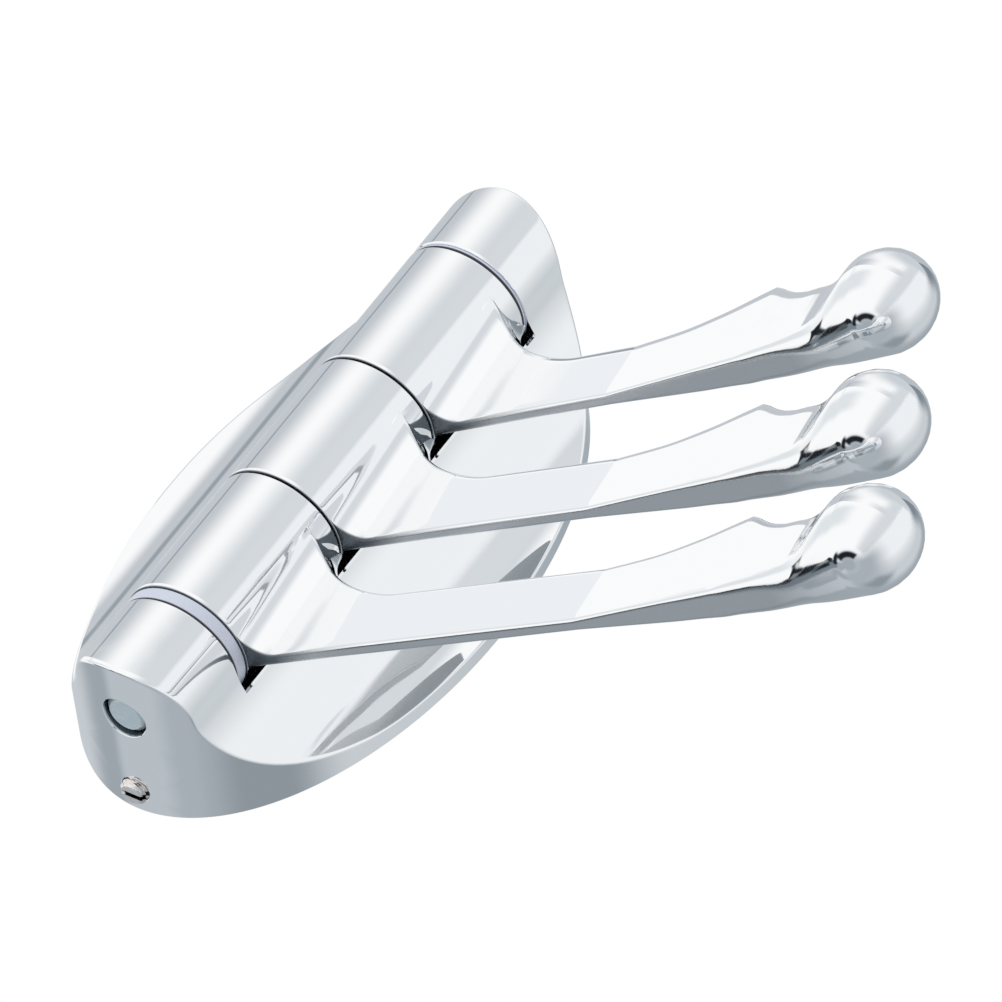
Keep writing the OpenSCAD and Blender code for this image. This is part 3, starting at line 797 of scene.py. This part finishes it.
# One turn round the section, from the front side over the bottom, the rear and the top: places
# of the corner centres, from -1 to 1 in y and z, and the way from there to the surface
corner_steps = 8
side_steps = 9
edge_steps = 5
quarter = np.linspace(0, np.pi / 2, corner_steps)
ring_y, ring_z, ring_turn = [], [], []
for k, (cy, cz, ny, nz, steps) in enumerate((
        (-1, -1, 1, -1, edge_steps), (1, -1, 1, 1, side_steps),
        (1, 1, -1, 1, edge_steps), (-1, 1, -1, -1, side_steps))):
    start = np.pi * (1 + k / 2)
    ring_y += [cy] * corner_steps + list(np.linspace(cy, ny, steps + 2)[1:-1])
    ring_z += [cz] * corner_steps + list(np.linspace(cz, nz, steps + 2)[1:-1])
    ring_turn += list(start + quarter) + [start + np.pi / 2] * steps
ring_y, ring_z = (np.array(v + v[:1], float) for v in (ring_y, ring_z))
ring_turn = np.array(ring_turn + [ring_turn[0] + 2 * np.pi])
low_chain = slice(0, 2 * corner_steps + edge_steps)
rear_chain = slice(low_chain.stop - 1, low_chain.stop + side_steps + 1)
top_chain = slice(rear_chain.stop - 1, rear_chain.stop + 2 * corner_steps + edge_steps - 1)
front_chain = slice(top_chain.stop - 1, None)


def blade_section(x, length):
    """Points (y, z) of the section at x, one for each step of the turn: a rectangle with rounded
    corners that passes into an oval where the rounding takes up the whole thickness."""
    low, top, front_y, back_y, low_r, top_r, share = blade_size(x, length)
    half_y, half_z = (back_y - front_y) / 2, (top - low) / 2
    radius = np.minimum(low_r + (top_r - low_r) * (1 + ring_z) / 2, np.minimum(half_y, half_z))
    y = ring_y * (half_y - radius) + radius * np.cos(ring_turn)
    z = ring_z * (half_z - radius) + radius * np.sin(ring_turn)
    angle = np.arctan2(z / half_z, y / half_y)
    y += share * (half_y * np.cos(angle) - y)
    z += share * (half_z * np.sin(angle) - z)
    y -= face_tilt * (z + half_z / 3) * (1 - share) * (1 - ring_y) / 2
    return (front_y + back_y) / 2 + y, (low + top) / 2 + z


def swing_arm(name, length, angle, z0, recessed):
    """Knuckle and blade as one closed surface. The blade's first ring is where its section meets
    the knuckle's cylinder, found by halving, and the cylinder has a window of that shape."""
    inside, root = np.full(len(ring_y), blade_front + 1.0), np.full(len(ring_y), barrel_r + 1)
    for _ in range(50):
        x = (inside + root) / 2
        y, _ = blade_section(x, length)
        within = x ** 2 + y ** 2 < barrel_r ** 2
        inside, root = np.where(within, x, inside), np.where(within, root, x)
    shares = np.linspace(0, 1, root_rows)[:, None] ** root_crowding
    rest = np.concatenate([
        np.linspace(sweep_end, length - crease_back, flat_rows)[1:],
        np.linspace(length - crease_back, length - peak_back, rise_rows)[1:],
        np.linspace(length - peak_back, length, tip_rows)[1:]])
    x = np.concatenate([
        root + shares * (sweep_end - root), np.repeat(rest[:, None], len(ring_y), 1)])
    y, z = blade_section(x, length)
    blade = np.stack([x, y, z], -1)

    # Nose of the ball
    turn = np.linspace(0, np.pi / 2, ball_rows + 1)[1:, None]
    middle_y, middle_z = ball_back, ball_lift + ball_h / 2
    ball = np.stack([
        np.broadcast_to(length + ball_nose * np.sin(turn), (ball_rows, len(ring_y))),
        middle_y + (y[-1] - middle_y) * np.cos(turn),
        middle_z + (z[-1] - middle_z) * np.cos(turn)], -1)
    blade = np.concatenate([blade, ball])

    def barrel(angle, z, radius=barrel_r):
        angle, z, radius = np.broadcast_arrays(angle, z, radius)
        return np.stack([radius * np.cos(angle), radius * np.sin(angle), z], -1)

    # Cylinder of the knuckle with the window, below it and above it
    ring_angle = np.arctan2(blade[0, :, 1], blade[0, :, 0])
    ring = blade[0] = barrel(ring_angle, blade[0, :, 2])
    low, high = knuckle_edge, knuckle_len - knuckle_edge
    under, over = ring[low_chain], ring[top_chain][::-1]
    window_low, window_high = ring_angle[low_chain], ring_angle[top_chain][::-1]
    heights, angles = [], []
    for chain, end in ((rear_chain, -1), (front_chain, 0)):
        level, side = ring[chain, 2], ring_angle[chain]
        if end == 0:
            level, side = level[::-1], side[::-1] + 2 * np.pi
        last = level[-1]
        heights.append(np.concatenate([[low], level, [last + end_share * (high - last), high]]))
        angles.append(np.concatenate([side[:1], side, side[-1:], side[-1:]]))
    share = np.linspace(0, 1, knuckle_columns)
    heights, angles = (pair[0][:, None] * (1 - share) + pair[1][:, None] * share
                       for pair in (heights, angles))
    patches = [
        blade, barrel(angles, heights),
        between(barrel(window_low, low), under, [0, 1]),
        between(over, barrel(window_high, high), [0, end_share, 1])]
    around_low = np.concatenate([window_low, angles[0, 1:]])
    around_high = np.concatenate([window_high, angles[-1, 1:]])

    # Ends and bore of the knuckle, from its upper edge down to its lower one
    turn = np.linspace(0, np.pi / 2, knuckle_edge_rows)
    edge_rise = knuckle_edge * np.sin(turn)
    edge_out = barrel_r - knuckle_edge * (1 - np.cos(turn))
    floor_level = knuckle_len - (recess_depth if recessed else 0)
    profile = list(zip(edge_out, high + edge_rise))
    profile += [(barrel_r - knuckle_end_in, knuckle_len), (recess_r, knuckle_len),
                (recess_r, floor_level), (knuckle_bore_r, floor_level), (knuckle_bore_r, 0),
                (barrel_r - knuckle_end_in, 0)]
    profile += list(zip(edge_out[::-1], low - edge_rise[::-1]))
    radius, level = np.array(profile).T[:, :, None]
    row = np.arange(len(profile))[:, None]
    share = ramp(row, knuckle_edge_rows - 1, len(profile) - 2 * knuckle_edge_rows + 1)
    patches.append(barrel(around_high * (1 - share) + around_low * share, level, radius))

    # Turned to the photographed pose, about the pin
    cos, sin = math.cos(math.radians(-angle)), math.sin(math.radians(-angle))
    placed = []
    for patch in patches:
        px, py, pz = np.moveaxis(patch, -1, 0)
        placed.append(np.stack([px * cos - py * sin, px * sin + py * cos - axis_out, pz + z0], -1))
    arm = solid(name, placed)

    # Painted shade and a rougher finish on the rear face, the underside and the root
    x, y, _ = places(arm).T
    y = y + axis_out
    along_arm = x * cos + y * sin
    behind = y * cos - x * sin
    normals = vectors(arm, "normal")
    facing = normals @ [-sin, cos, 0]
    from_root = np.hypot(along_arm, behind) - barrel_r
    rear = rear_shade * ramp(facing, *rear_facing) * ramp(from_root, 0, rear_rise)
    rear *= ramp(length - seat_back - along_arm, 0, rear_fade)
    downward = -normals[:, 2]
    root = root_shade * ramp(root_fade - from_root, 0, root_fade) ** root_power
    root *= ramp(downward, *root_facing)
    under = under_shade * ramp(length - along_arm, 0, neck_back) * ramp(downward, *under_facing)
    mark(arm, "dull_and_shade", np.maximum(rear, np.maximum(root, under)))
    return arm


arm_z = pocket_bottom + low_washer_t
for level, length in arm_lengths.items():
    arm = swing_arm(level + "_arm_casting", length, arm_angles[level], arm_z, level != "upper")
    arm.data.materials.append(chrome)
    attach(arm, level + "_swing_arm")
    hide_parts(level + "_arm")
    arm_z += knuckle_len + seam


# Nylon washers and spacers
# Rings of nylon turned from rod: a thick pale lilac washer under the lowest knuckle and a thin one
# over the top knuckle, and two natural white spacers in the recesses between the knuckles.
washer_bore_r = 3.05
washer_round = 0.28
gap_shade_high = 0.42
gap_shade_fade = 0.12
tool_mark_mm = 1.885
tool_mark_deep_mm = 0.003
nylon_cloud_mm = 4


def turned(name, profile, centre_d, steps=128):
    """A turned piece: profile points (radius, z) in mm, carried round the upright line that
    stands centre_d out from the wall."""
    turn = np.linspace(0, 2 * np.pi, steps + 1)
    radius, level = np.array(profile).T[:, :, None]
    return solid(name, [points(radius * np.cos(turn), centre_d + radius * np.sin(turn), level)])


def ring_profile(bore, outer, low, high, rounding, corner_rows=6, side_rows=12):
    """Section of a ring as a closed chain (radius, z) with its two outer corners rounded."""
    turn = np.linspace(0, np.pi / 2, corner_rows)
    reach, rise = outer - rounding + rounding * np.sin(turn), rounding * (1 - np.cos(turn))
    lower = list(zip(reach, low + rise))
    upper = list(zip(reach[::-1], high - rise[::-1]))
    side = [(outer, level) for level in np.linspace(lower[-1][1], upper[0][1], side_rows)[1:-1]]
    return [(bore, low)] + lower + side + upper + [(bore, high), (bore, low)]


def nylon(name, colour, glow):
    """Smooth nylon with a soft sheen: turning marks run round it, coarser than real ones so that
    they show, its colour clouds very slightly, and painted shade darkens its lower outer edge, where
    it meets the part below, as an attribute of the piece says. The wave of a wave texture is pi / 10
    long at scale 1."""
    material, tree = surface_material(name)
    place = add(tree, "ShaderNodeTexCoord").outputs["Object"]
    cloud = add(tree, "ShaderNodeTexNoise", Vector=place, Scale=1000 / nylon_cloud_mm, Detail=1)
    tone = add(tree, "ShaderNodeMix", [("data_type", "RGBA")], Factor=cloud.outputs["Fac"],
               _6=linear(colour), _7=linear(glow))
    # Painted shade at the ring's lower outer edge, where it meets the part below
    gap_shade = add(tree, "ShaderNodeAttribute", [("attribute_name", "gap_shade")])
    tone = add(tree, "ShaderNodeMix", [("data_type", "RGBA")], Factor=gap_shade.outputs["Fac"],
               _6=tone.outputs[2], _7=linear("23272E"))
    marks = add(tree, "ShaderNodeTexWave",
                [("wave_type", "BANDS"), ("bands_direction", "Z"), ("wave_profile", "SIN")],
                Vector=place, Scale=1000 * math.pi / 10 / tool_mark_mm, Distortion=1.5)
    bump = add(tree, "ShaderNodeBump", Height=marks.outputs["Fac"],
               Distance=tool_mark_deep_mm / 1000, Strength=0.6)
    shader = add(tree, "ShaderNodeBsdfPrincipled", Base_Color=tone.outputs[2], Roughness=0.4,
                 IOR=1.53, Normal=bump.outputs[0])
    add(tree, "ShaderNodeOutputMaterial", Surface=shader.outputs[0])
    return material


lilac_nylon = nylon("lilac_nylon", "DDE1F0", "E6EAF6")
natural_nylon = nylon("natural_nylon", "E6E2D6", "F0EEE6")
rings = {"lower_nylon_washer": lilac_nylon, "upper_nylon_washer": lilac_nylon,
         "lower_spacer": natural_nylon, "upper_spacer": natural_nylon}
for name, material in rings.items():
    corner_low, corner_high = 1000 * np.array(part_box(name))
    outer = (corner_high[0] - corner_low[0]) / 2
    rounding = min(washer_round, (corner_high[2] - corner_low[2]) / 3)
    ring = turned(name + "_ring", ring_profile(
        washer_bore_r, outer, corner_low[2], corner_high[2], rounding), axis_out)
    ring.data.materials.append(material)
    # Painted shade of the gap below: darker towards the lower outer edge of each ring
    x, y, z = places(ring).T
    outside = np.hypot(x, y + axis_out) > outer - 2 * washer_round
    mark(ring, "gap_shade", outside * ramp(corner_low[2] + gap_shade_high - z, 0, gap_shade_fade))
    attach(ring, "base")
    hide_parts(name)


# Hinge pin
# A steel pin pressed up into the base from its foot, chamfered at both ends and passivated to a
# pale blue. Its end was sawn and faced, and shows the scratches of that, drawn coarser than they are.
pin_chamfer = 0.6
pin_drop = 0.6
scratch_mm = 0.35
scratch_deep_mm = 0.02
scratch_way = math.radians(35)
scratch_stretch = 4
steel_roughness = (0.16, 0.38)
steel, tree = surface_material("blue_passivated_steel")
place = add(tree, "ShaderNodeTexCoord").outputs["Object"]
drawn_out = add(tree, "ShaderNodeMapping", Vector=place, Scale=(1 / scratch_stretch, 1, 1),
                Rotation=(0, 0, scratch_way))
scratches = add(tree, "ShaderNodeTexNoise", Vector=drawn_out.outputs[0], Scale=1000 / scratch_mm,
                Detail=4, Roughness=0.7).outputs["Fac"]
tone = add(tree, "ShaderNodeMix", [("data_type", "RGBA")], Factor=scratches,
           _6=linear("B9CCD3"), _7=linear("F0FAFC"))
rough = add(tree, "ShaderNodeMapRange", Value=scratches, From_Min=noise_low,
            From_Max=noise_high, To_Min=steel_roughness[0], To_Max=steel_roughness[1])
bump = add(tree, "ShaderNodeBump", Height=scratches, Distance=scratch_deep_mm / 1000, Strength=0.5)
shader = add(tree, "ShaderNodeBsdfPrincipled", Base_Color=tone.outputs[2], Metallic=0.4,
             Roughness=rough.outputs[0], Normal=bump.outputs[0])
add(tree, "ShaderNodeOutputMaterial", Surface=shader.outputs[0])

corner_low, corner_high = 1000 * np.array(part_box("hinge_pin"))
pin_r = (corner_high[0] - corner_low[0]) / 2
pin_low = corner_low[2] - pin_drop
pin_profile = [
    (0, pin_low), (pin_r - pin_chamfer, pin_low),
    (pin_r, pin_low + pin_chamfer), (pin_r, corner_high[2] - pin_chamfer),
    (pin_r - pin_chamfer, corner_high[2]), (0, corner_high[2])]
pin = turned("hinge_pin_rod", pin_profile, axis_out)
pin.data.materials.append(steel)
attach(pin, "base")
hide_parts("hinge_pin")


# Set screw
# A short slotted screw with a rolled metric thread, nickel plated. It is driven up through the foot
# of the base and clamps on the bracket's lug.
thread_pitch = 0.7
thread_depth = 0.38
screw_slot_w = 0.8
screw_slot_d = 1
thread_rows = 150
groove_gain = 1.25
crest_share = 0.1
cone_in = 0.1
wear_mm = 0.9
wear_deep_mm = 0.08
nickel_roughness = (0.1, 0.2)
slot_margin = 0.01
slot_shade_gain = 1.2
corner_low, corner_high = 1000 * np.array(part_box("set_screw"))
screw_r = (corner_high[0] - corner_low[0]) / 2
screw_length = corner_high[2] - corner_low[2]


def thread(steps=72):
    """Surface of the thread: radius = crest - depth * groove(z / pitch - turn), where the groove
    is a triangle wave with its tip cut, and both ends run down a cone to the root."""
    turn = np.linspace(0, 2 * np.pi, steps + 1)
    level = np.linspace(0, screw_length, thread_rows)[:, None]
    phase = (level / thread_pitch - turn / (2 * np.pi)) % 1
    groove = np.clip(groove_gain * (1 - abs(2 * phase - 1)) - crest_share, 0, 1)
    radius = screw_r - thread_depth * groove
    cone = screw_r - thread_depth - cone_in + np.minimum(level, screw_length - level)
    radius = np.pad(np.minimum(radius, cone), ((1, 1), (0, 0)))
    level = np.pad(level, ((1, 1), (0, 0)), mode="edge")
    return points(radius * np.cos(turn), screw_out + radius * np.sin(turn), corner_low[2] + level)


screw = solid("set_screw_thread", [thread()], 40)
cutter = bpy.data.objects.new("slot_cutter", bpy.data.meshes.new("slot_cutter"))
work = bmesh.new()
bmesh.ops.create_cube(work, size=1)
work.to_mesh(cutter.data)
work.free()
cutter.scale = np.array([2 * screw_r + 1, screw_slot_w, 2 * screw_slot_d]) / 1000
cutter.location = np.array([0, -screw_out, corner_low[2]]) / 1000
scene.collection.objects.link(cutter)
cut = screw.modifiers.new("slot", "BOOLEAN")
cut.object = cutter
cut.operation = "DIFFERENCE"
cut.solver = "EXACT"
bpy.context.view_layer.update()
slotted = bpy.data.meshes.new_from_object(screw.evaluated_get(bpy.context.evaluated_depsgraph_get()))
screw.modifiers.clear()
screw.data = slotted
bpy.data.objects.remove(cutter)

nickel, tree = surface_material("nickel_plated_steel")
place = add(tree, "ShaderNodeTexCoord").outputs["Object"]
# Wear clouds the plating, and painted shade darkens the slot towards its bottom
wear = add(tree, "ShaderNodeTexNoise",
           Vector=place, Scale=1000 / wear_mm, Detail=1).outputs["Fac"]
tone = add(tree, "ShaderNodeMix", [("data_type", "RGBA")], Factor=wear,
           _6=linear("CDC6C1"), _7=linear("FFFCFA"))
slot_shade = add(tree, "ShaderNodeAttribute", [("attribute_name", "slot_shade")])
tone = add(tree, "ShaderNodeMix", [("data_type", "RGBA")], Factor=slot_shade.outputs["Fac"],
           _6=tone.outputs[2], _7=linear("2B2623"))
rough = add(tree, "ShaderNodeMapRange", Value=wear, From_Min=noise_low,
            From_Max=noise_high, To_Min=nickel_roughness[0], To_Max=nickel_roughness[1])
bump = add(tree, "ShaderNodeBump", Height=wear, Distance=wear_deep_mm / 1000, Strength=1)
shader = add(tree, "ShaderNodeBsdfPrincipled", Base_Color=tone.outputs[2], Metallic=1,
             Roughness=rough.outputs[0], Normal=bump.outputs[0])
add(tree, "ShaderNodeOutputMaterial", Surface=shader.outputs[0])
# Painted shade in the slot, darker towards its bottom
x, y, z = places(screw).T
in_slot = abs(y + screw_out) < screw_slot_w / 2 + slot_margin
in_slot &= np.hypot(x, y + screw_out) < screw_r
mark(screw, "slot_shade", in_slot * (z - corner_low[2]) / screw_slot_d * slot_shade_gain)
screw.data.materials.clear()
screw.data.materials.append(nickel)
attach(screw, "base")
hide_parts("set_screw")
